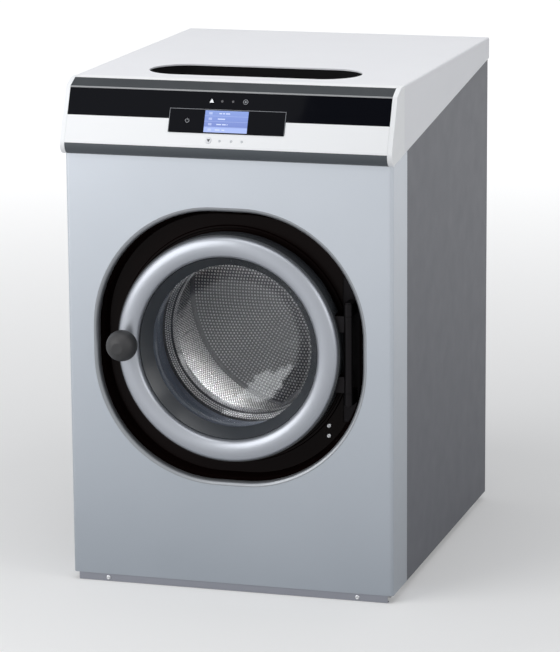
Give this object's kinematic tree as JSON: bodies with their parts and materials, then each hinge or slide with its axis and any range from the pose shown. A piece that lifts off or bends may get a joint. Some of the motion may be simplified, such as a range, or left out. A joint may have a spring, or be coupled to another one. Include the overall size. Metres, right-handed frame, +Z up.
{
  "type": "washer-extractor",
  "caption": "Front-loading washer-extractor with a round glass door, turning knob, display fascia and soap slot in the hood.",
  "frame": {"origin": "on the floor, at the centre of the four anchor holes, below the middle of the cabinet", "axes": "+Z up, +X to the right of someone facing the door, +Y to the back"},
  "size_m": [0.716, 0.962, 1.084],
  "materials": {
    "frame_paint": "satin powder coat",
    "zinc_steel": "zinc plated",
    "front_finish": "satin metallic",
    "trim_silver": "satin silver",
    "side_finish": "satin grey",
    "hood_white": "satin",
    "fascia_white": "satin moulded",
    "gloss_black": "gloss",
    "screen_blue": "back-lit display",
    "key_grey": "satin",
    "circuit_board": "solder mask",
    "hopper_plastic": "moulded",
    "recess_black": "gloss",
    "hinge_steel": "black zinc",
    "bezel_charcoal": "satin",
    "knob_charcoal": "fine texture",
    "lock_plastic": "moulded",
    "bowl_glass": "clear",
    "rubber_grey": "matt",
    "rubber_black": "matt",
    "stainless": "brushed",
    "cast_alloy": "as cast",
    "ground_steel": "ground",
    "cast_iron_paint": "painted",
    "valve_plastic": "moulded",
    "gland_plastic": "moulded",
    "drive_case": "cast, finned"
  },
  "bodies": {
    "cabinet": {"base_frame": "frame_paint", "tub_supports": "frame_paint", "motor_bracket": "frame_paint", "anchor_feet": "zinc_steel", "panel_screws": "zinc_steel", "hinge_pin": "zinc_steel", "rear_cover": "zinc_steel", "front_panel": "front_finish", "plinth": "front_finish", "recess_trim": "trim_silver", "left_side_panel": "side_finish", "right_side_panel": "side_finish", "rear_panel": "side_finish", "top_cover": "hood_white", "control_fascia": "fascia_white", "left_end_cap": "fascia_white", "right_end_cap": "fascia_white", "fascia_strip": "gloss_black", "display_bezel": "gloss_black", "display_screen": "screen_blue", "status_lights": "key_grey", "control_board": "circuit_board", "soap_hopper": "hopper_plastic", "door_surround": "recess_black", "hinge_plate": "hinge_steel", "door_lock": "lock_plastic", "door_gasket": "rubber_grey", "shaft_seal": "rubber_black", "drive_belt": "rubber_black", "hopper_hose": "rubber_black", "inlet_hoses": "rubber_black", "tub": "stainless", "tub_front": "stainless", "heating_elements": "stainless", "shaft_bearings": "ground_steel", "bearing_housing": "cast_iron_paint", "motor": "cast_iron_paint", "water_valves": "valve_plastic", "drain_valve": "valve_plastic", "cable_gland": "gland_plastic", "motor_drive": "drive_case"},
    "drum": {"drum": "stainless", "drum_lifters": "stainless", "drum_spider": "cast_alloy", "drum_shaft": "ground_steel", "drum_pulley": "cast_alloy"},
    "motor_rotor": {"motor_pulley": "cast_alloy"},
    "door": {"hinge_arm": "zinc_steel", "door_ring": "trim_silver", "door_bezel": "bezel_charcoal", "glass_seal": "rubber_grey", "door_glass": "bowl_glass", "clamp_ring": "zinc_steel", "door_latch": "zinc_steel"},
    "knob": {"door_knob": "knob_charcoal", "latch_spindle": "zinc_steel"},
    "key_up_cap": {"key_up": "key_grey"},
    "key_stop_cap": {"key_stop": "key_grey"},
    "key_start_cap": {"key_start": "key_grey"},
    "key_down_cap": {"key_down": "key_grey"}
  },
  "joints": [
    {"name": "door_hinge", "type": "hinge", "parent": "cabinet", "child": "door", "pos_m": [0.258, -0.422, 0.53], "axis": [0, 0, 1], "range_deg": [0, 110]},
    {"name": "knob_turn", "type": "hinge", "parent": "door", "child": "knob", "pos_m": [-0.218, -0.455, 0.535], "axis": [0, 1, 0], "range_deg": [0, 90], "stiffness_Nm_per_rad": 0.5},
    {"name": "drum_spin", "type": "hinge", "parent": "cabinet", "child": "drum", "pos_m": [0, 0, 0.53], "axis": [0, 1, 0], "continuous": true},
    {"name": "motor_spin", "type": "hinge", "parent": "cabinet", "child": "motor_rotor", "pos_m": [0.19, 0.3, 0.152], "axis": [0, 1, 0], "continuous": true},
    {"name": "key_up_press", "type": "slide", "parent": "cabinet", "child": "key_up_cap", "axis": [0, 0.9239, -0.3827], "range_m": [0, 0.0008], "stiffness_N_per_m": 400},
    {"name": "key_stop_press", "type": "slide", "parent": "cabinet", "child": "key_stop_cap", "axis": [0, 0.9239, -0.3827], "range_m": [0, 0.0008], "stiffness_N_per_m": 400},
    {"name": "key_start_press", "type": "slide", "parent": "cabinet", "child": "key_start_cap", "axis": [0, 0.9239, -0.3827], "range_m": [0, 0.0008], "stiffness_N_per_m": 400},
    {"name": "key_down_press", "type": "slide", "parent": "cabinet", "child": "key_down_cap", "axis": [0, 0.9239, -0.3827], "range_m": [0, 0.0008], "stiffness_N_per_m": 400}
  ],
  "couplings": [
    {"joint": "motor_spin", "follows": "drum_spin", "ratio": 6}
  ]
}
